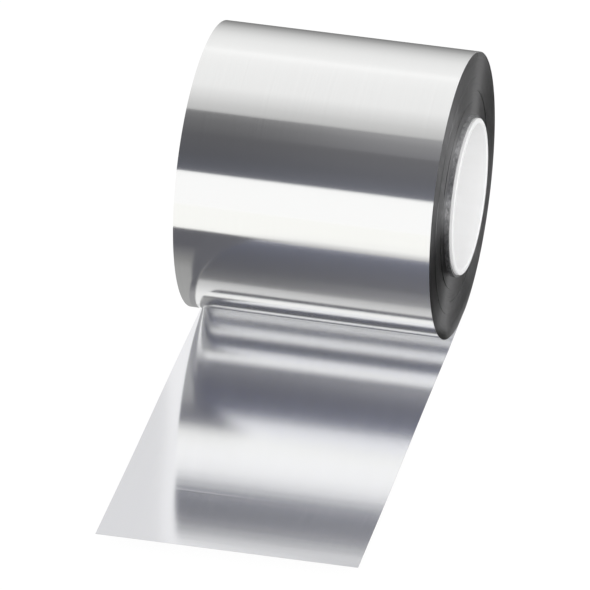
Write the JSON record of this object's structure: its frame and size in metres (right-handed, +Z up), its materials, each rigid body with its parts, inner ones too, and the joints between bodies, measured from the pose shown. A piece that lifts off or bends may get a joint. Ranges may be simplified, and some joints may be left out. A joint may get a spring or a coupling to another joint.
{
  "type": "roll of aluminium foil tape",
  "caption": "Wide roll of self-wound aluminium foil tape on a white tube core, lying on its side with a stretch pulled off in front, its cut end a little off the floor.",
  "frame": {"origin": "on the core's axis, halfway across the web", "axes": "+X along the roll's axis towards the end where the core stands proud, +Z up, the pulled-off stretch runs towards -Y"},
  "size_m": [0.1394, 0.3198, 0.15],
  "materials": {
    "foil": "bright rolled foil; dark stacked edges on the wound ends",
    "core": "satin white"
  },
  "bodies": {
    "root": {"foil_tape": "foil", "core": "core"}
  },
  "joints": []
}
